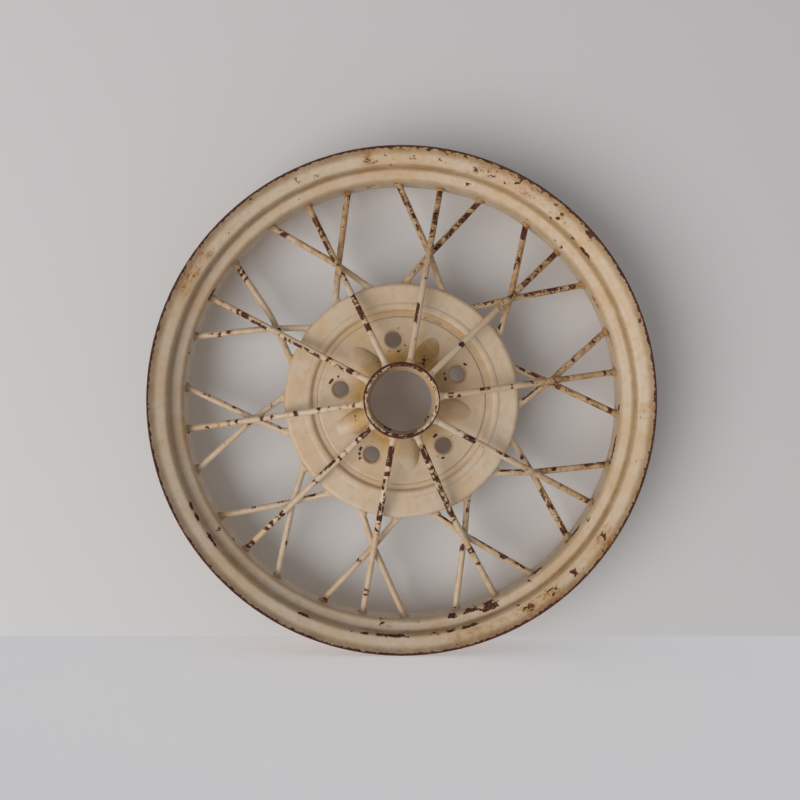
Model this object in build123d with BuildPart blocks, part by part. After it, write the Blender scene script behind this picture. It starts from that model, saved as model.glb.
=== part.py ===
from build123d import *
from math import cos, radians, sin
import os

# Welded steel-spoke car wheel: 21 inch drop-centre rim, five studs.
#
# The wheel stands upright. Its axis is Y, its front looks along -Y, and the origin is on
# the axis, in the middle plane of the rim. Each spoke is a plain rod, welded at one end
# to the well of the rim and at the other to the hub. Lengths are millimetres.

# ---- driving dimensions -------------------------------------------------------------
# "forward" is the distance ahead of the rim's middle plane, along -Y

# rim, rolled from one strip of sheet
rim_sheet = 2.8
bead_seat_radius = 266.7          # 21 inches across the bead seats
rim_width = 63.5                  # 2 1/2 inches between the feet of the flanges
well_depth = 13.9
well_half_width = 16.0
seat_start = 20.5                 # where the bead seat begins, from the middle plane
curl_start_radius = 277.5         # the flange leans out as far as here
curl_start_forward = 38.2
lip_radius = 283.6
lip_forward = 43.3
rim_bends = [14.0, 6.0, 4.0, 5.0] # lip curl, flange, seat, well
valve_hole_radius = 7.94          # 5/8 inch valve stem

# bolting flange of the hub
stud_count = 5
stud_circle_radius = 69.85        # 5.5 inch bolt circle
stud_hole_radius = 8.5
stud_seat_radius = 11.0
stud_seat_angle = 90.0
flange_face = 23.0
flange_thickness = 4.0
flange_radius = 96.0
flange_edge_round = 3.0

# stud plate, behind the bolting flange
stud_plate_thickness = 6.35       # 1/4 inch
stud_plate_radius = 90.0
stud_plate_chamfer = 1.5
pilot_radius = 34.6

# nose of the hub
nose_radius = 42.0
nose_inner_radius = 38.5
nose_lip_radius = 37.0
nose_lip_length = 6.0
nose_forward = 70.0
nose_outer_round = 2.0
nose_inner_round = 1.6
nose_root_round = 6.0

# ribs between the studs, from the nose down to the bolting flange
rib_root = 2.5                    # depth of a rib's centre below the flange face
rib_sections = [                  # radius from the axis, half width, height
    (37.0, 13.8, 30.0),
    (45.0, 13.8, 20.0),
    (54.0, 13.6, 12.4),
    (63.0, 12.8, 7.4),
    (72.0, 10.6, 3.8),
    (79.0, 6.8, 0.9),
    (83.0, 3.2, -1.3),
]

# spoke flange, the outer shell that the rear spokes are welded to
shell_sheet = 3.0
shell_radius = 133.5
shell_back = 10.0
shell_line = [                    # middle of the sheet: radius, forward
    (92.0, 20.2),
    (101.8, 20.2),
    (105.0, 24.8),
    (108.8, 24.8),
    (111.2, 23.8),
]
shell_edge_forward = 23.2
shell_bends = [2.6, 2.6, 2.4, 3.0, 3.5]

# spokes
group_count = 10
first_group_angle = 7.6           # from +X towards +Z
rod_radius = 3.57                 # 9/32 inch rod
weld_radius = 4.4
weld_length = 4.5
overrun = 2.0                     # a rod is made too long, then cut to what it meets
front_hub_forward = 63.5
front_hub_twist = -2.0            # degrees from the spoke's place at the rim
rear_hub_forward = 15.4
rear_hub_stagger = 0.8
rear_hub_twist = -0.5
rear_hub_spread = 9.4
rear_rim_spread = 11.15
rear_rim_stagger = 1.5
crossing_radius = 171.0
crossing_twist = -0.4
crossing_forward = 10.3
crossing_half_gap = 3.8           # the two rear rods of a group all but touch
set_radius = 110.0                # of the slight bend where one rod passes its mate

# this wheel has one bent rod in front and one behind, each bulging at one place
bent_front_group = 8
bent_front_place = (140.0, -2.0, 33.6)      # radius, degrees from the group, forward
bent_rear_group = 4
bent_rear_place = (177.0, -4.0, 1.0)

# ---- worked out from them -----------------------------------------------------------
group_step = 360 / group_count
stud_angle = first_group_angle + group_step / 2 - 0.3
rib_angle = stud_angle + 180 / stud_count
valve_angle = first_group_angle + 2.5 * group_step
half_sheet = rim_sheet / 2
seat_line = bead_seat_radius - half_sheet
well_line = seat_line - well_depth
well_underside = well_line - half_sheet
flange_line = rim_width / 2 + half_sheet
flange_back = flange_face - flange_thickness
stud_plate_back = flange_back - stud_plate_thickness
half_shell = shell_sheet / 2
skirt_line = shell_radius - half_shell

front = Plane.XZ                                                        # its z is forward
section = Plane(origin=(0, 0, 0), x_dir=(1, 0, 0), z_dir=(0, 0, -1))    # radius, forward


def on_wheel(radius, angle, forward):
    """The point at a radius and an angle about the axis, ahead of the middle plane."""
    turn = radians(angle)
    return Vector(radius * cos(turn), -forward, radius * sin(turn))


def save(part, label):
    """Name a finished piece and write it to its own file."""
    part.label = label
    export_step(part, f"parts/{label}.step")


os.makedirs("parts", exist_ok=True)

# ---- rim ----------------------------------------------------------------------------
front_line = [
    (well_line, well_half_width),
    (seat_line, seat_start),
    (seat_line, flange_line),
    (curl_start_radius, curl_start_forward),
    (lip_radius, lip_forward),
]
back_line = [(radius, -forward) for radius, forward in reversed(front_line)]

with BuildPart() as rim:
    with BuildSketch(section):
        with BuildLine():
            FilletPolyline(*back_line, *front_line, radius=rim_bends + rim_bends[::-1])
            offset(amount=half_sheet, side=Side.BOTH)
        make_face()
    revolve(axis=Axis.Y)
    with BuildSketch(Plane(on_wheel(well_line, valve_angle, 0), z_dir=on_wheel(1, valve_angle, 0))):
        Circle(valve_hole_radius)
    extrude(amount=rim_sheet, both=True, mode=Mode.SUBTRACT)
save(rim.part, "rim")

# ---- hub shell: nose, ribs and bolting flange in one piece --------------------------
# one rib, drawn with forward as its Z
with BuildPart() as rib:
    for rib_radius, half_width, height in rib_sections:
        rib_centre = (rib_radius, 0, flange_face - rib_root)
        with BuildSketch(Plane(rib_centre, x_dir=(0, 1, 0), z_dir=(1, 0, 0))):
            Ellipse(half_width, height + rib_root)
    loft()

with BuildPart() as hub_shell:
    with BuildSketch(section):
        with BuildLine():
            FilletPolyline(
                (nose_inner_radius, flange_back),
                (flange_radius, flange_back),
                (flange_radius, flange_face),
                (nose_radius, flange_face),
                (nose_radius, nose_forward),
                (nose_inner_radius, nose_forward),
                radius=[0, 0, flange_edge_round, nose_root_round, nose_outer_round, 0],
                close=True,
            )
        make_face()
    revolve(axis=Axis.Y)
    with Locations(front):
        with PolarLocations(0, stud_count, start_angle=rib_angle):
            add(rib.part)
    with BuildSketch(front.offset(nose_forward)):
        Circle(nose_inner_radius)
    extrude(amount=-2 * nose_forward, mode=Mode.SUBTRACT)
    with BuildSketch(front.offset(flange_back)):
        Circle(flange_radius)
    extrude(amount=-nose_forward, mode=Mode.SUBTRACT)
    with BuildSketch(section):
        with BuildLine():
            FilletPolyline(
                (nose_inner_radius + 1, nose_forward),
                (nose_lip_radius, nose_forward),
                (nose_lip_radius, nose_forward - nose_lip_length),
                (nose_inner_radius + 1, nose_forward - nose_lip_length),
                radius=[0, nose_inner_round, 0, 0],
                close=True,
            )
        make_face()
    revolve(axis=Axis.Y)
    with Locations(front.offset(flange_face)):
        with PolarLocations(stud_circle_radius, stud_count, start_angle=stud_angle):
            CounterSinkHole(stud_hole_radius, stud_seat_radius, counter_sink_angle=stud_seat_angle)
save(hub_shell.part, "hub_shell")

# ---- stud plate ---------------------------------------------------------------------
with BuildPart() as stud_plate:
    with BuildSketch(front.offset(flange_back)):
        Circle(stud_plate_radius)
        Circle(pilot_radius, mode=Mode.SUBTRACT)
        with PolarLocations(stud_circle_radius, stud_count, start_angle=stud_angle):
            Circle(stud_hole_radius, mode=Mode.SUBTRACT)
    extrude(amount=-stud_plate_thickness)
    chamfer(stud_plate.edges().group_by(Axis.Y)[-1].sort_by(SortBy.LENGTH)[-1], stud_plate_chamfer)
save(stud_plate.part, "stud_plate")

# ---- spoke flange -------------------------------------------------------------------
skirt = [(skirt_line, shell_edge_forward), (skirt_line, shell_back + half_shell)]

with BuildPart() as spoke_flange:
    with BuildSketch(section):
        with BuildLine():
            FilletPolyline(*shell_line, *skirt, radius=shell_bends)
            offset(amount=half_shell, side=Side.BOTH)
        make_face()
    revolve(axis=Axis.Y)
    with BuildSketch(front):
        Circle(flange_radius)
    extrude(amount=nose_forward, mode=Mode.SUBTRACT)
save(spoke_flange.part, "spoke_flange")


# ---- spokes -------------------------------------------------------------------------
def spoke(label, places, hub_surface):
    """A rod through places on the wheel, welded to a round of the hub and to the rim's well."""
    route = [on_wheel(*place) for place in places]
    into_hub = (route[0] - route[1]).normalized()
    into_rim = (route[-1] - route[-2]).normalized()
    ends = [route[0] + into_hub * overrun, route[-1] + into_rim * overrun]
    with BuildPart() as rod:
        with BuildLine() as path:
            if len(route) == 2:
                Line(*ends)
            else:
                FilletPolyline(ends[0], *route[1:-1], ends[1], radius=set_radius)
        with BuildSketch(Plane(ends[0], z_dir=-into_hub)):
            Circle(rod_radius)
        sweep(path=path.line)
        for end, outward in zip(ends, (into_hub, into_rim)):
            with Locations(Plane(end, z_dir=-outward)):
                Cone(weld_radius, rod_radius, overrun + weld_length,
                     align=(Align.CENTER, Align.CENTER, Align.MIN))
        with Locations(front):
            Cylinder(well_underside, 4 * nose_forward, mode=Mode.INTERSECT)
            Cylinder(hub_surface, 4 * nose_forward, mode=Mode.SUBTRACT)
    save(rod.part, label)


def front_spoke(group):
    """Radial rod from the nose to the rim, in the plane of the group."""
    angle = first_group_angle + group * group_step
    places = [
        (nose_radius, angle + front_hub_twist, front_hub_forward),
        (well_underside, angle, 0),
    ]
    if group == bent_front_group:
        radius, turn, forward = bent_front_place
        places.insert(1, (radius, angle + turn, forward))
    spoke(f"front_spoke_{group + 1:02d}", places, nose_radius)


def rear_spoke(group, side):
    """Slanting rod from the spoke flange to the rim; side 1 passes ahead of side -1."""
    angle = first_group_angle + group * group_step
    hub_turn = rear_hub_twist - side * rear_hub_spread
    crossing = (crossing_radius, angle + crossing_twist, crossing_forward + side * crossing_half_gap)
    if group == bent_rear_group and side == -1:
        radius, turn, forward = bent_rear_place
        crossing = (radius, angle + turn, forward)
    places = [
        (shell_radius, angle + hub_turn, rear_hub_forward + side * rear_hub_stagger),
        crossing,
        (well_underside, angle + side * rear_rim_spread, side * rear_rim_stagger),
    ]
    number = 2 * group + (1 if side == 1 else 2)
    spoke(f"rear_spoke_{number:02d}", places, shell_radius)


for group in range(group_count):
    front_spoke(group)
    rear_spoke(group, 1)
    rear_spoke(group, -1)
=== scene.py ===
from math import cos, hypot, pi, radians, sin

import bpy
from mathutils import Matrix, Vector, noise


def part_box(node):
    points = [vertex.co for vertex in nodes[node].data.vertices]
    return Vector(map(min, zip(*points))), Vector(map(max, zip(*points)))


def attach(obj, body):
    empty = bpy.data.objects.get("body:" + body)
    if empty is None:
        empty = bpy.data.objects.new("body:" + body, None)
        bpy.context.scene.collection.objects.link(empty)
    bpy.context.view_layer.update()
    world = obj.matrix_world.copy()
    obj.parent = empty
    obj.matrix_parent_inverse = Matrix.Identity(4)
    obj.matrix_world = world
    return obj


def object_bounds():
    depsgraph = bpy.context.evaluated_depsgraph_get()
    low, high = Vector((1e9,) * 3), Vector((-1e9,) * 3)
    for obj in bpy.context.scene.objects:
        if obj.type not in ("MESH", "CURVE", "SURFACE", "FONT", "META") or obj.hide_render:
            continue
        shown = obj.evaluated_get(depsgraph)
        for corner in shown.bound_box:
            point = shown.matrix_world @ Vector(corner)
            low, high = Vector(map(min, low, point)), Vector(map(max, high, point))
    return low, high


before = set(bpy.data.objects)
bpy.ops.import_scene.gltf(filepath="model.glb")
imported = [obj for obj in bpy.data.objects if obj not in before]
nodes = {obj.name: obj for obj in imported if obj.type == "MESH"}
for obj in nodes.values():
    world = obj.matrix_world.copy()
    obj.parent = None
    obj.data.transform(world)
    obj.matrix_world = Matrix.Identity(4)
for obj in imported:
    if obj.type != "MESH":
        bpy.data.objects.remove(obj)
cad_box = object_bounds()

# The looks of an old painted car wheel: cream paint over rusted steel, chipped and stained
# where this wheel is, and the weld beads at both ends of every spoke. Lengths in the
# materials and the weld code are millimetres, from the wheel's centre; an azimuth is in
# degrees from +X towards +Z, and "forward" is the distance ahead of the rim's middle plane.

MM = 0.001

# ---- sizes shared with the CAD model -------------------------------------------------
well_underside = 250.0            # radius of the rim's inner surface, where the rods end
bead_seat_radius = 266.7
shell_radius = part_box("spoke_flange")[1].x / MM
rim_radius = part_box("rim")[1].x / MM
nose_radius = 42.0
nose_forward = -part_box("hub_shell")[0].y / MM
flange_face = 23.0                # how far forward the bolting flange's face is
flange_radius = 96.0
stud_circle_radius = 69.85
stud_hole_radius = 8.5
stud_angle = 25.3                 # of the first stud hole
stud_step = 72.0
rod_radius = 3.57

# rings of the spoke flange, from its crease against the bolting flange outward
crease_radius = 97.2
groove_radius = 100.0
crest_foot_radius = 110.4


def srgb(red, green, blue):
    """A colour, 0 to 255, as Blender's linear RGBA."""
    def linear(level):
        share = level / 255
        return share / 12.92 if share <= 0.04045 else ((share + 0.055) / 1.055) ** 2.4
    return (linear(red), linear(green), linear(blue), 1.0)


CREAM = srgb(209, 182, 150)
CREAM_PALE = srgb(212, 193, 170)
CREAM_DEEP = srgb(198, 163, 122)
OCHRE = srgb(188, 147, 80)
# this brown colours dirt, and painted shade as well
GRIME_AND_SHADE = srgb(108, 74, 46)
RUST_ORANGE = srgb(158, 96, 50)
RUST_STAIN = srgb(154, 92, 46)
RUST_BROWN = srgb(88, 48, 34)
RUST_DARK = srgb(58, 29, 24)

paint_specular = 0.42
film_depth = 0.28                 # how deep the bare steel seems to lie below the paint


# ---- shader nodes --------------------------------------------------------------------
class Shader:
    """The node tree of one material, with a short method for each kind of node in it."""

    def __init__(self, name):
        self.material = bpy.data.materials.new(name)
        self.material.use_nodes = True
        self.tree = self.material.node_tree
        self.surface = self.tree.nodes["Principled BSDF"]
        coordinates = self.node("ShaderNodeTexCoord")
        self.facing = coordinates.outputs["Normal"]
        metres = coordinates.outputs["Object"]
        scaled = self.node("ShaderNodeVectorMath", {0: metres}, operation="SCALE")
        scaled.inputs["Scale"].default_value = 1 / MM
        self.place = scaled.outputs[0]
        x, y, z = self.node("ShaderNodeSeparateXYZ", {0: self.place}).outputs
        self.forward = self.math("MULTIPLY", y, -1.0)
        self.radius = self.math("SQRT", self.math("MULTIPLY_ADD", x, x, self.math("MULTIPLY", z, z)))
        turn = self.math("DEGREES", self.math("ARCTAN2", z, x))
        self.azimuth = self.math("FLOORED_MODULO", turn, 360.0)

    def node(self, kind, inputs=None, **settings):
        """A node with its settings, and its input sockets fed by links or numbers."""
        node = self.tree.nodes.new(kind)
        for key, value in settings.items():
            setattr(node, key, value)
        for key, value in (inputs or {}).items():
            if isinstance(value, bpy.types.NodeSocket):
                self.tree.links.new(value, node.inputs[key])
            else:
                node.inputs[key].default_value = value
        return node

    def math(self, operation, *values):
        """The result of one maths operation on links or numbers."""
        return self.node("ShaderNodeMath", dict(enumerate(values)), operation=operation).outputs[0]

    def along(self, vector, way):
        """How far a vector goes in a direction."""
        product = self.node("ShaderNodeVectorMath", {0: vector, 1: way}, operation="DOT_PRODUCT")
        return product.outputs["Value"]

    def times(self, *values):
        """The product of any number of values."""
        product = values[0]
        for value in values[1:]:
            product = self.math("MULTIPLY", product, value)
        return product

    def most(self, *values):
        """The largest of any number of values."""
        largest = values[0]
        for value in values[1:]:
            largest = self.math("MAXIMUM", largest, value)
        return largest

    def rise(self, value, low, high):
        """0 at low and 1 at high, smooth between, whichever of them is the larger number."""
        ends = {"Value": value, "From Min": low, "From Max": high}
        return self.node("ShaderNodeMapRange", ends, interpolation_type="SMOOTHSTEP").outputs["Result"]

    def ragged(self, value, wobble, amount):
        """The value pushed up and down by a noise, by amount in all."""
        return self.math("MULTIPLY_ADD", wobble, amount, self.math("SUBTRACT", value, amount / 2))

    def around(self, radial, sideways):
        """A place for a noise that follows the wheel's circles: radius, azimuth and forward."""
        outward, turned = self.times(self.radius, radial), self.times(self.azimuth, sideways)
        return self.node("ShaderNodeCombineXYZ", {0: outward, 1: turned, 2: self.forward}).outputs[0]

    def band(self, value, centre, half_width, soft):
        """1 within half_width of centre, fading to 0 over soft."""
        distance = self.math("ABSOLUTE", self.math("SUBTRACT", value, centre))
        return self.rise(distance, half_width + soft, half_width)

    def steps(self, value, stops, low=0, high=360):
        """A number that follows stops, (value, number), from low to high: a whole turn unless said."""
        share = self.math("DIVIDE", self.math("SUBTRACT", value, low), high - low)
        node = self.node("ShaderNodeValToRGB", {"Fac": share})
        ramp = node.color_ramp
        ramp.elements.remove(ramp.elements[1])
        for index, (at, number) in enumerate(stops):
            position = (at - low) / (high - low)
            element = ramp.elements.new(position) if index else ramp.elements[0]
            element.position = position
            element.color = (number, number, number, 1.0)
        return node.outputs["Color"]

    def spots(self, value, spans, soft, low=0, high=360):
        """The strength of each span, (from, to, strength), easing to 0 across its ends.

        A short span's ends ease over less than soft. Neighbours go to different ramps,
        because their eased ends may overlap.
        """
        spans, strongest = sorted(spans), 0.0
        for apart in (spans[0::2], spans[1::2]):
            stops = []
            for start, end, strength in apart:
                ease = min(soft, (end - start) / 2.05)
                stops += [(max(start - ease, low), 0.0), (start + ease, strength)]
                stops += [(end - ease, strength), (min(end + ease, high), 0.0)]
            if stops:
                strongest = self.most(self.steps(value, stops, low, high), strongest)
        return strongest

    def noise(self, size, detail=4.0, roughness=0.55, place=None, distortion=0.0):
        """Noise whose larger features are about size across."""
        settings = {
            "Vector": place or self.place,
            "Scale": 1.0 / size,
            "Detail": detail,
            "Roughness": roughness,
            "Distortion": distortion,
        }
        return self.node("ShaderNodeTexNoise", settings).outputs["Fac"]

    def mix(self, share, below, above):
        """Colour below, covered by colour above as far as share says."""
        node = self.node("ShaderNodeMix", {0: share, 6: below, 7: above}, data_type="RGBA")
        return node.outputs[2]

    def finish(self, colour, roughness, height, depth):
        """Feed the surface: its colour, its roughness, and bumps of height 0 to 1 times depth."""
        bump = self.node("ShaderNodeBump", {"Height": height, "Distance": depth * MM, "Strength": 1.0})
        self.tree.links.new(colour, self.surface.inputs["Base Color"])
        self.tree.links.new(roughness, self.surface.inputs["Roughness"])
        self.tree.links.new(bump.outputs["Normal"], self.surface.inputs["Normal"])
        self.surface.inputs["Specular IOR Level"].default_value = paint_specular
        return self.material


# ---- old paint over rusted steel -----------------------------------------------------
def old_paint(s, flake, wear, grime_and_shade, stain, rusty=None, grain=None):
    """Cream paint that is stained yellow, darkened by dirt and by painted shade, and chipped by wear to the
    steel.

    flake is about how large a chip is. wear, grime and stain are masks, 0 for none and 1 for
    full; the grime mask lays down dirt and, in places, painted shade. rusty, if it is given, is
    where rust mottles the paint and has turned orange on the bare steel. The chips follow grain,
    if it is given: it is the place that their noise reads.
    """
    # a chip opens where the noise passes a level that wear lowers
    flakes = s.noise(flake, 6.0, 0.62, place=grain, distortion=0.3)
    grit = s.noise(1.5, 3.0)
    level = s.math("MULTIPLY_ADD", grit, 0.22, s.math("MULTIPLY", flakes, 0.78))
    cut = s.math("MULTIPLY_ADD", wear, -0.3, 0.73)
    chip = s.rise(s.math("SUBTRACT", level, cut), 0.0, 0.014)
    halo = s.rise(s.math("SUBTRACT", level, cut), -0.06, 0.01)

    # the paint film: patches and a mottle, stains, dirt and painted shade, pinholes, rust round the chips
    patches = s.noise(55.0, 3.0)
    mottle = s.noise(9.0, 5.0, 0.65)
    colour = s.mix(s.rise(patches, 0.4, 0.66), CREAM_PALE, CREAM)
    colour = s.mix(s.times(s.rise(mottle, 0.42, 0.72), 0.5), colour, CREAM_DEEP)
    streaks = s.noise(22.0, 6.0, 0.7, distortion=0.25)
    uneven = s.math("MULTIPLY_ADD", s.rise(streaks, 0.3, 0.66), 0.5, 0.5)
    colour = s.mix(s.times(stain, uneven), colour, OCHRE)
    # the grime mask darkens with dirt, and in places with painted shade
    colour = s.mix(s.times(grime_and_shade, uneven, 0.8), colour, GRIME_AND_SHADE)
    pinholes = s.times(s.rise(s.noise(1.1, 2.0), 0.7, 0.76), s.rise(patches, 0.45, 0.65))
    colour = s.mix(s.times(pinholes, 0.6), colour, RUST_BROWN)
    if rusty:
        blotches = s.rise(s.noise(4.2, 5.0, 0.7, place=grain), 0.46, 0.6)
        colour = s.mix(s.times(rusty, blotches, 0.8), colour, RUST_STAIN)
    colour = s.mix(s.times(halo, 0.45), colour, OCHRE)

    # bare steel: dark scale with brown and orange rust on it
    scale = s.noise(2.6, 5.0, 0.7)
    rust = s.mix(s.rise(scale, 0.42, 0.62), RUST_DARK, RUST_BROWN)
    fresh = s.times(s.rise(s.noise(14.0, 4.0), 0.62, 0.35), s.rise(scale, 0.45, 0.6))
    rust = s.mix(s.times(fresh, s.most(rusty or 0.0, 0.35)), rust, RUST_ORANGE)
    colour = s.mix(chip, colour, rust)

    gloss = s.math("MULTIPLY_ADD", mottle, 0.25, 0.36)
    roughness = s.math("MAXIMUM", gloss, s.times(chip, 0.88))
    film = s.math("SUBTRACT", 1.0, chip)
    pits = s.times(chip, scale, 0.55)
    height = s.math("ADD", s.math("MULTIPLY_ADD", grit, 0.12, film), pits)
    return s.finish(colour, roughness, height, film_depth)


# ---- rim -----------------------------------------------------------------------------
def rim_paint():
    """Paint for the rim, chipped most on its lip and its bends."""
    s = Shader("rim_paint")
    wobble = s.noise(5.0, 3.0)
    azimuth = s.ragged(s.azimuth, wobble, 2.4)
    radius = s.ragged(s.radius, wobble, 5.0)
    steady = s.ragged(s.radius, wobble, 2.6)
    forward = s.ragged(s.forward, wobble, 7.0)
    front_half = s.rise(s.forward, 4.0, 8.0)

    def track(centre, half_width, spans, across=radius, soft=1.6):
        """Chips along the rim, over spans of azimuth, where across is near centre."""
        along = s.spots(azimuth, spans, 0.5)
        return s.times(s.band(across, centre, half_width, soft), along, 1.1)

    # the chips, from the lip inward to the well; the bend's are fine, so they waver less
    lip_edge = s.times(s.rise(radius, rim_radius - 3.6, rim_radius - 2.2), 1.3)
    under_lip = track(280.5, 1.8, [
        (18, 20, 0.8), (40, 43, 1), (51.5, 53, 0.8), (55.5, 57, 0.9), (61.5, 63.5, 0.7),
        (71.5, 73, 0.7), (81.5, 83, 0.8), (125, 129, 0.5), (198.5, 199.5, 0.7), (281, 283, 0.6),
        (320, 325, 0.6), (355, 359, 0.5),
    ])
    outer_flange = track(273.5, 3.2, [
        (48.4, 49.7, 0.9), (61.4, 62.8, 0.8), (66, 68, 0.6), (71, 72.5, 0.75), (76, 77, 0.6),
        (80, 81, 0.6), (93, 94.5, 0.6), (97, 99, 0.8), (115, 115.7, 0.7), (135.5, 137, 0.6),
        (190.5, 191.2, 0.7), (300.5, 303, 0.85), (307, 309.5, 0.9), (314.2, 316, 1.2), (325, 327.5, 0.85),
    ])
    inner_flange = track(268.8, 1.6, [
        (48.8, 49.6, 0.9), (59, 60.5, 0.5), (71.4, 72.4, 0.9), (75.5, 76.5, 0.5), (87.1, 88, 0.9),
        (95, 98.5, 0.6), (109.5, 111.4, 0.75), (113, 113.8, 0.6), (136, 137, 0.5), (272, 272.6, 0.8),
    ])
    bend = track(265.3, 0.8, [
        (37.3, 40.8, 1.35), (43, 44.6, 0.9), (50, 51, 0.9), (92, 93, 0.8), (96, 97, 0.6),
        (112.6, 113.6, 0.8), (122.7, 123.4, 0.8), (141, 141.7, 0.8), (144.7, 145.4, 0.8),
        (205.6, 207.8, 1.2), (208.2, 210.8, 1.2), (214.4, 218, 1.2), (244.4, 246.8, 1.2),
    ], steady, 0.9)
    bend_below = track(265.3, 0.8, [
        (255, 256, 0.8), (257, 259, 0.7), (259.6, 261.8, 0.9), (263.6, 271.6, 0.95),
        (274.4, 275.2, 0.9), (276.6, 279.6, 0.7), (280.4, 283.4, 1), (284.8, 289, 0.95),
        (299.2, 299.7, 0.8), (323.4, 324, 0.8), (347.4, 348, 0.8),
    ], steady, 0.9)
    crown = track(256.5, 2.4, [
        (72.8, 73.6, 0.85), (77.2, 78, 0.7), (107.3, 108, 0.8), (116.4, 117, 0.6),
        (214.8, 215.6, 0.8), (264, 265.8, 0.7), (267, 267.8, 0.7), (291, 295.8, 1),
    ])
    shoulder = track(252.6, 1.6, [
        (43, 44, 0.8), (46, 46.6, 0.6), (54.7, 55.5, 0.6), (224, 224.6, 0.8), (264, 266, 0.8),
        (273.8, 274.8, 0.9), (281.4, 284.6, 1), (285.6, 291, 1), (291, 295.4, 0.9),
        (297.4, 298, 0.8), (304.6, 305.6, 0.8), (327.4, 328, 0.7), (357.8, 358.8, 0.7),
    ])
    well = s.times(1.3, track(8.0, 5.5, [
        (0, 1.6, 0.5), (15, 19.8, 0.55), (24.6, 30, 0.5), (90.6, 92, 0.6), (149, 152.6, 0.95),
        (167, 167.6, 0.8), (218.6, 219.6, 0.9), (281.6, 283, 0.5), (290, 291, 0.8),
        (306.4, 310.6, 0.85), (318.6, 325.6, 0.65), (331.2, 332.8, 0.7), (342.4, 350.6, 0.7),
        (356.4, 360, 0.6),
    ], forward))
    marks = s.most(under_lip, outer_flange, inner_flange, bend, bend_below, crown, shoulder, well)

    # small chips all round, more of them outside the bead seat
    general = s.steps(s.azimuth, [
        (0, 0.2), (20, 0.14), (45, 0.26), (60, 0.36), (90, 0.34), (100, 0.2), (130, 0.1),
        (150, 0.16), (200, 0.1), (250, 0.12), (300, 0.24), (330, 0.26), (360, 0.2),
    ])
    flange_zone = s.rise(s.radius, bead_seat_radius - 0.7, bead_seat_radius + 2.3)
    general = s.times(general, s.math("MULTIPLY_ADD", flange_zone, 0.6, 0.6))
    lip_wear = s.times(s.rise(s.radius, 278.0, 284.0), 0.35)
    wear = s.most(s.times(marks, front_half), s.math("ADD", general, lip_wear), lip_edge)

    # dirt in the valley and under the lip, painted shade with an ochre stain down the well's side, and rust
    # that has bled from chips
    valley = s.band(s.radius, 263.8, 0.8, 2.6)
    under = s.rise(s.radius, 273.5, 281.5)
    # painted shade: the well's side is darkened, and stained ochre as well
    well_side = s.rise(s.radius, 255.5, 250.8)
    grime_and_shade = s.most(s.times(valley, 0.45), s.times(under, 0.7), s.times(well_side, 0.3))
    bleeding = s.steps(azimuth, [
        (0, 0), (47, 0), (49, 0.7), (51, 0.1), (60, 0.4), (66, 0.1), (71, 0.5), (74, 0), (96, 0),
        (98, 0.7), (100, 0), (141, 0), (143, 0.7), (145, 0.1), (149, 1), (151, 0.2), (153, 0.9),
        (155, 0), (280, 0), (284, 0.4), (299, 0.1), (301.5, 0.8), (304, 0.2), (308, 0.9),
        (311, 0.1), (322, 0.1), (326, 0.9), (330, 0), (355, 0), (358, 0.6), (360, 0),
    ])
    yellowing = s.steps(s.azimuth, [
        (0, 0.4), (60, 0.55), (110, 0.4), (160, 0.15), (250, 0.15), (300, 0.5), (330, 0.6), (360, 0.4),
    ])
    stain = s.most(
        s.times(bleeding, flange_zone), s.times(yellowing, 0.12), s.times(well_side, 0.4),
        s.times(s.math("ADD", yellowing, 0.15), s.most(valley, under)),
    )
    rusty = s.times(bleeding, flange_zone, 1.6)
    return old_paint(s, 4.4, wear, grime_and_shade, stain, rusty, s.around(1.0, 2.6))


# ---- hub -----------------------------------------------------------------------------
# chips round each stud hole, from the first one: (from, to, wear) by the direction from the
# hole's middle, in degrees from +X towards +Z
STUD_CHIPS = [
    [(43, 63, 0.9), (112, 130, 0.45), (170, 183, 0.8), (192, 212, 0.95)],
    [(58, 76, 0.6), (94, 101, 0.5), (243, 256, 0.5), (286, 306, 0.8), (328, 337, 0.7)],
    [(97, 108, 0.9), (128, 158, 1.0), (168, 174, 0.5), (20, 28, 0.5)],
    [(86, 93, 0.5), (142, 164, 1.0), (168, 186, 0.95), (190, 207, 0.9)],
    [(24, 32, 0.6), (45, 53, 0.6), (119, 145, 1.0), (234, 247, 0.8), (258, 277, 0.6)],
]


def round_studs(s, waver):
    """The distance from the nearest stud hole's middle, and the chips that ring the holes.

    waver, a small noise, is added to the distance.
    """
    x, y, z = s.node("ShaderNodeSeparateXYZ", {0: s.place}).outputs
    nearest, chips = 1000.0, 0.0
    for index, spans in enumerate(STUD_CHIPS):
        turn = radians(stud_angle + index * stud_step)
        aside = s.math("SUBTRACT", x, stud_circle_radius * cos(turn))
        above = s.math("SUBTRACT", z, stud_circle_radius * sin(turn))
        distance = s.math("SQRT", s.math("MULTIPLY_ADD", aside, aside, s.times(above, above)))
        distance = s.math("ADD", distance, waver)
        bearing = s.math("FLOORED_MODULO", s.math("DEGREES", s.math("ARCTAN2", above, aside)), 360.0)
        ring = s.band(distance, 14.4, 0.9, 1.1)
        chips = s.most(s.times(ring, s.spots(bearing, spans, 4.0)), chips)
        nearest = s.math("MINIMUM", distance, nearest)
    return nearest, chips


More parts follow.
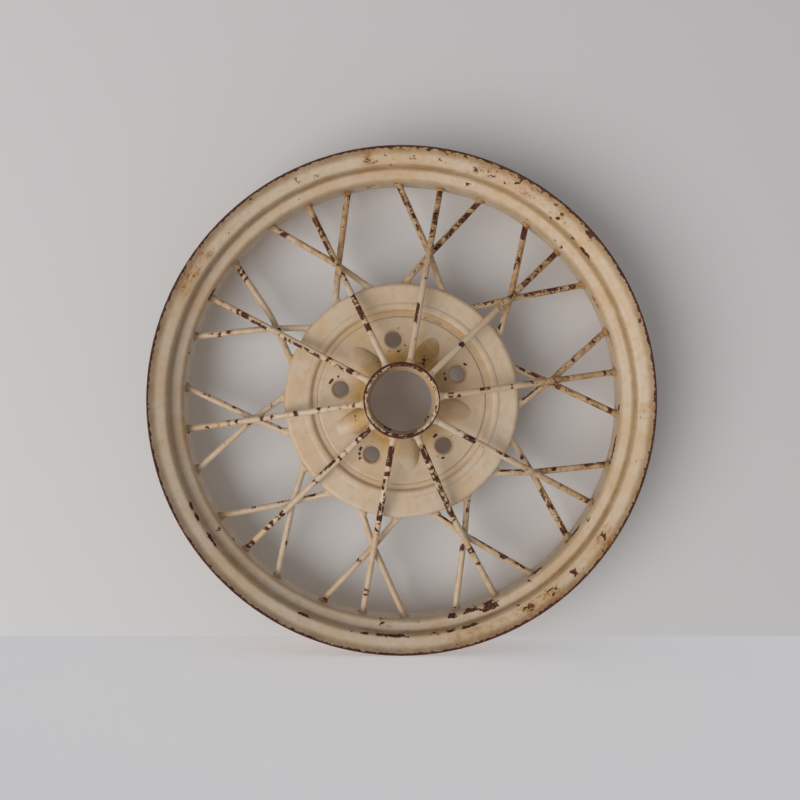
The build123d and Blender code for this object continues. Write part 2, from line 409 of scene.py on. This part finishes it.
def hub_paint():
    """Paint for the hub's three pressings: yellowed near the nose, dirty and darkened as painted shade on
    the back.
    """
    s = Shader("hub_paint")
    wobble = s.noise(4.0, 3.0)
    radius = s.ragged(s.radius, wobble, 2.4)
    azimuth = s.ragged(s.azimuth, wobble, 6.0)
    in_front = s.rise(s.forward, flange_face - 7.0, flange_face - 4.0)

    # the nose: rusted from its outer edge inward, by how far differs round it, and worn on its lip
    at_nose = s.rise(s.forward, nose_forward - 6.0, nose_forward - 3.5)
    edge_from = s.steps(s.azimuth, [
        (0, 1.0), (25, 0.55), (50, 0.1), (150, 0.1), (200, 0.6), (225, 0.4), (255, 0.0),
        (295, 0.0), (318, 0.6), (360, 1.0),
    ])
    from_edge = s.math("MULTIPLY_ADD", edge_from, 1.9, nose_radius - 3.4)
    nose_edge = s.times(at_nose, s.rise(s.math("SUBTRACT", radius, from_edge), 0.0, 0.6), 1.2)
    worst = s.steps(s.azimuth, [
        (0, 0.55), (40, 0.6), (62, 0.72), (90, 0.95), (118, 0.72), (160, 0.66), (200, 0.55),
        (240, 0.75), (255, 1.0), (292, 0.95), (305, 0.55), (335, 0.62), (360, 0.55),
    ])
    lip = s.times(at_nose, s.rise(s.radius, nose_radius - 0.6, nose_radius - 2.6), worst)
    # painted shadow: dark arcs of chipped, rusty paint just inside the bore, at its lower left and lower
    # right
    under_lip = s.spots(azimuth, [(220, 252, 0.9), (314, 334, 0.8)], 2.0)
    below_lip = s.rise(s.radius, nose_radius - 4.6, nose_radius - 5.4)
    shadow_arcs_in_bore = s.times(below_lip, under_lip)

    # chips round the studs, at the ribs' roots and along the crease
    nearest, chips = round_studs(s, s.math("MULTIPLY_ADD", wobble, 1.6, -0.8))
    speckled = s.spots(azimuth, [(53, 66, 0.66), (118, 126, 0.5), (196, 207, 0.5)], 2.0)
    specks = s.times(s.band(radius, 51.0, 5.0, 3.0), speckled)
    chipped = s.spots(azimuth, [(61, 77, 0.6)], 2.0)
    crease = s.times(s.band(s.radius, crease_radius + 0.3, 0.3, 0.6), chipped)

    # dirt in the hollows and on the back, painted shade in the crease, at the crest's foot, on the ribs'
    # shaded sides and on the back, and the ribs that rust has run down from the nose
    low = s.rise(s.forward, nose_forward - 8.0, flange_face + 4.0)
    root = s.times(s.rise(s.radius, 56.0, 43.0), low)
    holes = s.times(s.rise(nearest, stud_hole_radius + 1.0, stud_hole_radius + 0.3), 1.2)
    seat = s.times(s.rise(nearest, 13.0, 11.5), s.rise(s.forward, flange_face - 6.0, flange_face - 5.0))
    proud = s.rise(s.forward, flange_face + 0.1, flange_face + 0.8)
    on_rib = s.times(s.rise(s.radius, 82.0, 78.0), proud)
    # rust stain on the ribs, and painted shade on the sides of the ribs that face away from the light
    rib_stain_and_shade_round = s.steps(azimuth, [
        (0, 0.2), (50, 0.1), (53, 0.9), (75, 0.95), (77, 0.1), (118, 0.45), (148, 0.15),
        (190, 0.2), (193, 0.6), (198, 0.3), (205, 0.1), (280, 0.1), (284, 0.6), (288, 0.6),
        (290, 0.1), (340, 0.05), (347, 0.35), (360, 0.2),
    ])
    rib = s.times(on_rib, rib_stain_and_shade_round, s.rise(s.radius, 92.0, 62.0))
    groove = s.band(s.radius, groove_radius, 1.8, 2.6)
    # painted shade: thin dark lines in the crease and at the foot of the crest
    crease_shade = s.times(s.band(s.radius, crease_radius, 0.3, 0.7), 0.12)
    crest_foot_shade = s.times(s.band(s.radius, crest_foot_radius, 0.5, 1.6), 0.15)
    yellow_nose = s.steps(s.azimuth, [
        (0, 1.0), (30, 0.9), (60, 1.3), (100, 1.4), (130, 1.0), (160, 1.2), (200, 1.4),
        (250, 1.2), (290, 1.0), (330, 0.9), (360, 1.0),
    ])
    # dirt and painted shade: faces turned to the rear are darkened, which also keeps light off the wall seen
    # through the stud holes
    back = s.rise(s.along(s.facing, (0.0, 1.0, 0.0)), 0.3, 0.8)
    grime_and_shade = s.most(
        crease_shade, crest_foot_shade, s.times(root, 0.08), s.times(below_lip, 0.2),
        s.times(seat, 0.15), s.times(rib, 0.45), holes, s.times(back, 1.2),
    )
    stud_chips = s.times(chips, in_front, 1.3)
    # the wear here also holds the painted shadow arcs inside the bore
    wear = s.most(nose_edge, lip, shadow_arcs_in_bore, stud_chips, specks, crease, s.times(back, 0.4), 0.04)
    ochre = s.steps(s.azimuth, [
        (0, 0.25), (25, 0.65), (45, 0.95), (90, 1.0), (125, 0.8), (160, 0.35), (200, 0.4),
        (235, 0.55), (280, 0.45), (320, 0.25), (360, 0.25),
    ])
    outside = s.rise(s.radius, nose_radius - 1.5, nose_radius - 0.5)
    near_nose = s.times(s.rise(s.radius, 76.0, 44.0), low, yellow_nose, outside)
    on_bolting_flange = s.rise(s.radius, flange_radius + 0.5, flange_radius - 0.5)
    stain = s.most(
        s.times(groove, ochre, 0.7), near_nose, s.times(ochre, 0.12),
        s.times(ochre, on_bolting_flange, 0.35), s.times(seat, 0.45), s.times(rib, 1.5),
        s.times(below_lip, 0.2),
    )
    return old_paint(s, 3.8, wear, grime_and_shade, stain)


# ---- spokes --------------------------------------------------------------------------
def rod_end(node, surface):
    """Where a rod's middle line meets a round surface of the wheel."""
    corners = [vertex.co / MM for vertex in nodes[node].data.vertices]
    foot = [corner for corner in corners if abs(hypot(corner.x, corner.z) - surface) < 0.2]
    return (Vector(map(min, *foot)) + Vector(map(max, *foot))) / 2


def rod_line(node, hub_surface):
    """The two ends of a rod's middle line, at the hub and at the rim."""
    return rod_end(node, hub_surface), rod_end(node, well_underside)


def spoke_shader(name):
    """A shader for rods and welds, with a grain for its noise and two masks.

    The masks are the rods' rusty outer halves and the dirt where they meet the rim.
    """
    s = Shader(name)
    grain = s.around(0.6, 1.5)
    rusty_side = s.steps(s.azimuth, [
        (0, 0.9), (110, 0.9), (135, 0.35), (200, 0.15), (290, 0.2), (325, 0.7), (360, 0.9),
    ])
    outer = s.times(s.rise(s.radius, 120.0, 175.0), rusty_side)
    at_rim = s.times(s.rise(s.radius, 238.0, 249.0), 0.6)
    return s, grain, outer, at_rim


def rod_paint(name, start, end, chips):
    """Paint for one rod from its chips: (from radius, to radius, wear, side of the rod).

    The side is 1 for chips along the side towards rising azimuth, -1 for the other side,
    0 for chips along the middle, and None for chips all round, as on a bent rod.
    """
    s, grain, outer, at_rim = spoke_shader(name)
    ragged = s.math("MULTIPLY_ADD", s.noise(3.5, 2.0), 8.0, s.math("SUBTRACT", s.radius, 2.5))
    across = Vector((start.z - end.z, 0.0, end.x - start.x)).normalized()
    offset = s.math("SUBTRACT", s.along(s.place, across), start.dot(across))
    wear = s.math("MULTIPLY_ADD", outer, 0.45, 0.1)
    for side in (-1, 0, 1, None):
        spans = [chip[:3] for chip in chips if chip[3] == side]
        if spans:
            worn = s.spots(ragged, spans, 1.2, 30, 260)
            if side is not None:
                worn = s.times(worn, s.band(offset, 2.0 * side, 1.6 if side else 2.6, 1.2))
            wear = s.most(wear, worn)
    stain = s.math("MAXIMUM", s.times(outer, 0.6), s.times(wear, 0.35))
    return old_paint(s, 4.0, wear, s.most(at_rim, s.times(outer, 0.2)), stain, outer, grain)


def weld_paint():
    """Paint for the weld beads, more worn at the rim."""
    s, grain, outer, at_rim = spoke_shader("weld_paint")
    wear = s.steps(s.radius, [(40, 0.2), (130, 0.3), (200, 0.3), (252, 0.5)], 40, 252)
    return old_paint(s, 4.0, wear, at_rim, s.most(outer, 0.3), outer, grain)


# the chips of every rod, from front_spoke_01 and from rear_spoke_01, as rod_paint takes them
FRONT_CHIPS = [
    [(52, 60, 0.9, 0), (62, 68, 0.9, -1), (88, 101, 1.0, 1), (111, 114, 0.7, 0), (124, 128, 0.7, 0),
     (138, 152, 0.75, 1), (172, 184, 0.75, 0), (186, 200, 0.6, 1), (203, 210, 0.65, 0),
     (236, 248, 0.65, 0)],
    [(89, 96, 1.15, 0), (150, 190, 0.62, 0), (190, 214, 0.92, 0), (214, 238, 0.75, 0), (239, 250, 1.1, 0)],
    [(70, 73, 0.6, 0), (88, 112, 1.1, 1), (113, 117, 0.6, -1), (140, 143, 0.95, 0),
     (190, 204, 0.75, 0), (206, 222, 1.05, 0), (222, 240, 0.8, 0), (241, 250, 1.05, 0)],
    [(78, 83, 0.8, 1), (86, 96, 1.15, 0), (100, 118, 1.1, 0), (119, 131, 0.95, 0), (150, 163, 0.8, 0),
     (167, 172, 0.75, 0), (175, 205, 0.95, 1), (207, 236, 0.95, 0)],
    [(55, 60, 0.8, 0), (62, 71, 1.05, 0), (72, 86, 0.75, 1), (89, 98, 0.95, 0), (102, 152, 0.85, 1),
     (155, 162, 0.7, 0), (167, 172, 0.65, 0), (174, 196, 1.0, 1), (197, 217, 0.95, 0),
     (220, 225, 0.75, 0), (234, 239, 0.85, 0)],
    [(53, 57, 0.8, 0), (60, 63, 0.8, 0), (68, 71, 0.7, 0), (82, 84, 0.65, 0), (91, 97, 0.85, 0),
     (118, 124, 1.05, 0), (129, 131, 0.6, 0), (147, 151, 0.85, 0), (157, 164, 0.8, 0),
     (189, 195, 0.9, 0), (197, 203, 0.8, 0), (211, 216, 0.85, 0), (219, 230, 0.85, 1)],
    [(47, 63, 0.95, 0), (64, 70, 0.95, 0), (84, 88, 0.7, 0), (93, 98, 1.05, 0), (99, 126, 0.95, -1),
     (129, 137, 0.7, 0), (186, 192, 1.0, 0), (194, 199, 0.95, 0), (203, 209, 1.1, 0), (211, 217, 0.95, 0),
     (236, 249, 1.1, 0)],
    [(52, 77, 1.05, 0), (81, 88, 0.9, 0), (90, 103, 0.85, -1), (105, 116, 0.7, 1), (116, 140, 0.95, 0),
     (141, 165, 0.55, 0), (220, 225, 0.95, 0), (227, 230, 0.9, 0)],
    [(54, 78, 0.95, None), (80, 100, 0.8, None), (100, 152, 0.82, None), (185, 195, 0.9, None),
     (204, 212, 0.7, None)],
    [(43, 48, 0.85, -1), (70, 74, 0.7, 1), (80, 95, 1.1, 0), (100, 112, 0.6, 0), (120, 150, 0.7, 1),
     (206, 209, 0.85, 0), (236, 249, 0.95, 0)],
]
REAR_CHIPS = [
    [(138, 167, 0.95, 1), (178, 190, 0.9, 1), (190, 215, 0.65, 0), (225, 248, 0.65, 0)],
    [(134, 170, 0.9, 1), (176, 186, 0.9, 0), (190, 205, 0.75, 0), (206, 225, 0.75, 1),
     (226, 236, 0.8, 0), (238, 246, 0.95, 0)],
    [(136, 146, 0.95, 1), (148, 165, 0.6, 1), (198, 208, 0.95, 1), (208, 222, 0.8, 0), (233, 248, 1.15, 0)],
    [(134, 163, 0.75, 1), (163, 170, 0.95, 0), (186, 232, 0.9, 1), (205, 226, 0.7, 0), (236, 244, 0.9, 0)],
    [(186, 190, 0.6, 0), (194, 200, 0.95, -1), (200, 232, 0.85, -1), (204, 212, 0.7, 1), (226, 247, 1.0, 1)],
    [(148, 152, 0.7, 1), (157, 161, 0.75, 0), (179, 188, 1.15, 0), (188, 215, 0.75, 0),
     (217, 232, 0.95, 0), (237, 248, 1.0, 0)],
    [(232, 240, 1.1, 0), (241, 245, 0.7, 0)],
    [(212, 215, 0.85, 0), (226, 229, 0.8, 1), (240, 249, 1.0, -1)],
    [(135, 140, 0.7, 1), (161, 166, 0.95, 0), (209, 218, 0.8, -1), (222, 227, 1.1, 0), (228, 238, 0.6, -1)],
    [(142, 152, 0.5, None), (166, 170, 0.7, None), (228, 233, 0.85, None), (235, 246, 1.0, None)],
    [(145, 160, 0.55, -1), (175, 182, 0.75, -1), (209, 213, 0.65, -1)],
    [(142, 148, 0.9, -1), (150, 163, 0.7, -1), (184, 190, 0.7, -1), (192, 197, 0.95, -1),
     (203, 207, 0.85, -1), (222, 236, 0.85, -1)],
    [(195, 200, 0.9, 1), (210, 215, 1.05, 1)],
    [(146, 161, 0.85, -1), (172, 188, 0.8, -1), (210, 217, 0.75, -1)],
    [(140, 160, 0.55, 1), (174, 192, 0.7, 1)],
    [(190, 195, 0.85, 0)],
    [(138, 156, 0.85, 1), (173, 212, 0.9, 1), (212, 220, 1.0, 0), (222, 244, 0.7, 1)],
    [(138, 152, 0.7, 1), (150, 168, 0.7, -1), (182, 189, 1.1, 0)],
    [(138, 166, 0.9, 1), (176, 182, 0.8, 1), (183, 190, 0.8, 0), (190, 196, 1.05, 0), (219, 250, 0.95, 1)],
    [(151, 157, 0.8, 0), (165, 176, 0.7, 1), (190, 205, 0.85, 0), (205, 238, 0.85, 1),
     (207, 228, 0.65, 0), (237, 250, 1.1, 0)],
]


# ---- weld beads ----------------------------------------------------------------------
bead_segments = 28
bead_rows = 7
bead_foot = 5.6                   # radius of a bead on the surface that it is laid on
bead_height = 5.2                 # along the rod
bead_sink = 0.15                  # into the steel, so that no gap shows


def to_surface(point, way, surface):
    """The point moved along way until its distance from the axis is that of the surface."""
    a = way.x ** 2 + way.z ** 2
    b = point.x * way.x + point.z * way.z
    c = point.x ** 2 + point.z ** 2 - surface ** 2
    root = max(b * b - a * c, 0) ** 0.5
    steps = ((-b + root) / a, (-b - root) / a)
    return point + way * min(steps, key=abs)


def bands_of_faces(first, rows, around):
    """The faces between rows of corners that go right round, the first corner being number first."""
    faces = []
    for low in range(first, first + (rows - 1) * around, around):
        for step in range(around):
            after = (step + 1) % around
            faces.append((low + step, low + after, low + around + after, low + around + step))
    return faces


def add_object(name, data):
    """A new object in the scene, with its mesh, lamp or camera."""
    thing = bpy.data.objects.new(name, data)
    bpy.context.scene.collection.objects.link(thing)
    return thing


def weld_bead(start, way, surface, seed):
    """The corners of one uneven bead round a rod's end, row by row up the rod."""
    side = way.orthogonal().normalized()
    other = way.cross(side)
    corners = []
    for row in range(bead_rows):
        share = row / (bead_rows - 1)
        for segment in range(bead_segments):
            turn = 2 * pi * segment / bead_segments
            outward = side * cos(turn) + other * sin(turn)
            swell = noise.noise(outward * 1.6 + Vector((seed, 0, share)))
            ripple = noise.noise(outward * 5.0 + Vector((0, seed, share * 3)))
            girth = rod_radius - bead_sink + (bead_foot - rod_radius) * (1 - share) ** 1.6
            girth += (0.9 * swell + 0.35 * ripple) * (1 - share) + 0.35 * sin(pi * share)
            point = to_surface(start + outward * girth, way, surface)
            height = bead_height * share * (1 + 0.25 * swell) - bead_sink
            corners.append(tuple((point + way * height) * MM))
    return corners


def welds(name, lines, surface, material):
    """All the beads that hold some rods to one surface, as one piece.

    Each line is a rod's middle line, from the end where its bead is.
    """
    corners, faces = [], []
    for number, (start, end) in enumerate(lines):
        faces += bands_of_faces(len(corners), bead_rows, bead_segments)
        corners += weld_bead(start, (end - start).normalized(), surface, 3.7 * number)
    mesh = bpy.data.meshes.new(name)
    mesh.from_pydata(corners, [], faces)
    mesh.shade_smooth()
    mesh.materials.append(material)
    piece = add_object(name, mesh)
    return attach(piece, "root")


# ---- dress the frame -----------------------------------------------------------------
def dress(node, material):
    """Give a CAD node its finish."""
    mesh = nodes[node].data
    mesh.materials.clear()
    mesh.materials.append(material)


dress("rim", rim_paint())
hub_material = hub_paint()
for hub_node in ("hub_shell", "spoke_flange", "stud_plate"):
    dress(hub_node, hub_material)

front_rods = [f"front_spoke_{number:02d}" for number in range(1, len(FRONT_CHIPS) + 1)]
rear_rods = [f"rear_spoke_{number:02d}" for number in range(1, len(REAR_CHIPS) + 1)]
front_lines = [rod_line(rod, nose_radius) for rod in front_rods]
rear_lines = [rod_line(rod, shell_radius) for rod in rear_rods]
rim_lines = [(outer_end, hub_end) for hub_end, outer_end in front_lines + rear_lines]
for rod, line, chips in zip(front_rods + rear_rods, front_lines + rear_lines, FRONT_CHIPS + REAR_CHIPS):
    dress(rod, rod_paint(rod + "_paint", *line, chips))

weld_material = weld_paint()
weld_pieces = [
    welds("nose_welds", front_lines, nose_radius, weld_material),
    welds("shell_welds", rear_lines, shell_radius, weld_material),
    welds("rim_welds", rim_lines, well_underside, weld_material),
]


# ---- studio --------------------------------------------------------------------------
floor_level = cad_box[0].z
floor_radius = 2.4
sweep_radius = 1.2                # where the floor turns up into the far wall
sweep_steps = 12
sweep_turns = 96
sweep_height = 4.5
sweep_glow = 0.4
near_radius = 0.5                 # of the flat cap in the middle of the floor
wall_gap = 0.002                  # between the back of the rim and the wall
wall_half_width = 6.0
FLOOR_PAPER = srgb(226, 226, 228)
WALL_PAPER = srgb(222, 219, 217)
paper_roughness = 0.9

sky_colour = (0.95, 0.97, 1.0, 1.0)
sky_in_front = 0.36
sky_behind = 0.26
camera_place = (-0.0018, -1.12, 0.0004)
camera_lens = 43.43


def paper(name, colour):
    """A matt material for the studio, and its surface shader."""
    material = bpy.data.materials.new(name)
    material.use_nodes = True
    surface = material.node_tree.nodes["Principled BSDF"]
    surface.inputs["Base Color"].default_value = colour
    surface.inputs["Roughness"].default_value = paper_roughness
    return material, surface


def studio_sweep():
    """A pale floor that sweeps up into a round wall, seen by the camera but casting no shade."""
    outline = [(near_radius, 0.0), (floor_radius, 0.0)]
    for step in range(1, sweep_steps + 1):
        turn = radians(90 * step / sweep_steps)
        outline.append((floor_radius + sweep_radius * sin(turn), sweep_radius * (1 - cos(turn))))
    outline.append((floor_radius + sweep_radius, sweep_height))
    corners = []
    for reach, height in outline:
        for step in range(sweep_turns):
            turn = 2 * pi * step / sweep_turns
            corners.append((reach * cos(turn), reach * sin(turn), floor_level + height))
    cap = tuple(reversed(range(sweep_turns)))
    mesh = bpy.data.meshes.new("studio_sweep")
    mesh.from_pydata(corners, [], [cap, *bands_of_faces(0, len(outline), sweep_turns)])
    mesh.shade_smooth()
    material, surface = paper("studio_paper", FLOOR_PAPER)
    surface.inputs["Emission Color"].default_value = FLOOR_PAPER
    surface.inputs["Emission Strength"].default_value = sweep_glow
    mesh.materials.append(material)
    sweep = add_object("studio_sweep", mesh)
    sweep.visible_shadow = False
    sweep.visible_diffuse = False


def back_wall():
    """A pale wall close behind the wheel, which shows only its front face."""
    depth = cad_box[1].y + wall_gap
    top = floor_level + 2 * wall_half_width
    corners = [
        (-wall_half_width, depth, floor_level),
        (wall_half_width, depth, floor_level),
        (wall_half_width, depth, top),
        (-wall_half_width, depth, top),
    ]
    mesh = bpy.data.meshes.new("back_wall")
    mesh.from_pydata(corners, [], [(0, 1, 2, 3)])
    material, surface = paper("wall_paper", WALL_PAPER)
    tree = material.node_tree
    clear = tree.nodes.new("ShaderNodeBsdfTransparent")
    side = tree.nodes.new("ShaderNodeNewGeometry")
    either = tree.nodes.new("ShaderNodeMixShader")
    tree.links.new(side.outputs["Backfacing"], either.inputs[0])
    tree.links.new(surface.outputs[0], either.inputs[1])
    tree.links.new(clear.outputs[0], either.inputs[2])
    tree.links.new(either.outputs[0], tree.nodes["Material Output"].inputs["Surface"])
    mesh.materials.append(material)
    wall = add_object("back_wall", mesh)
    wall.visible_shadow = False
    wall.visible_diffuse = False
    wall.visible_glossy = False
    return wall


def lamp(name, azimuth, lift, distance, size, power, colour, pieces):
    """A soft round lamp that lights some pieces only, aimed at the wheel's centre.

    Its azimuth is where it stands round the wheel, and its lift is how many degrees it is
    ahead of the wheel's plane, or behind it below 0.
    """
    way = Vector((
        cos(radians(azimuth)) * cos(radians(lift)),
        -sin(radians(lift)),
        sin(radians(azimuth)) * cos(radians(lift)),
    ))
    data = bpy.data.lights.new(name, "AREA")
    data.shape = "DISK"
    data.size = size
    data.energy = power
    data.color = colour
    light = add_object(name, data)
    light.location = way * distance
    light.rotation_euler = way.to_track_quat("Z", "Y").to_euler()
    lit = bpy.data.collections.new(f"lit_by_{name}")
    for piece in pieces:
        lit.objects.link(piece)
    light.light_linking.receiver_collection = lit
    return light


def sky():
    """Even light from all round, a little stronger in front of the wheel than behind it."""
    world = bpy.context.scene.world or bpy.data.worlds.new("world")
    bpy.context.scene.world = world
    world.use_nodes = True
    nodes_of_it, links = world.node_tree.nodes, world.node_tree.links
    background = nodes_of_it["Background"]
    background.inputs["Color"].default_value = sky_colour
    looking = nodes_of_it.new("ShaderNodeTexCoord")
    direction = nodes_of_it.new("ShaderNodeSeparateXYZ")
    strength = nodes_of_it.new("ShaderNodeMapRange")
    strength.inputs["From Min"].default_value = -1.0
    strength.inputs["To Min"].default_value = sky_in_front
    strength.inputs["To Max"].default_value = sky_behind
    links.new(looking.outputs["Generated"], direction.inputs[0])
    links.new(direction.outputs["Y"], strength.inputs["Value"])
    links.new(strength.outputs["Result"], background.inputs["Strength"])


def camera():
    """The camera, level and square to the wheel's front."""
    data = bpy.data.cameras.new("camera")
    data.lens = camera_lens
    viewer = add_object("camera", data)
    viewer.location = camera_place
    viewer.rotation_euler = (radians(90), 0, 0)
    bpy.context.scene.camera = viewer


studio_sweep()
wall = back_wall()
wheel = [*nodes.values(), *weld_pieces]
lamp("key", azimuth=212, lift=50, distance=7.0, size=5.5, power=315,
     colour=(1.0, 0.97, 0.93), pieces=wheel)
back_light = lamp("back_light", azimuth=50, lift=-87, distance=7.0, size=2.6, power=80,
                  colour=(1.0, 0.98, 0.96), pieces=wheel)
back_light.visible_glossy = False
lamp("wash", azimuth=208, lift=50, distance=4.0, size=3.4, power=96,
     colour=(1.0, 1.0, 1.0), pieces=[wall])
sky()
camera()
bpy.context.scene.view_settings.view_transform = "Standard"
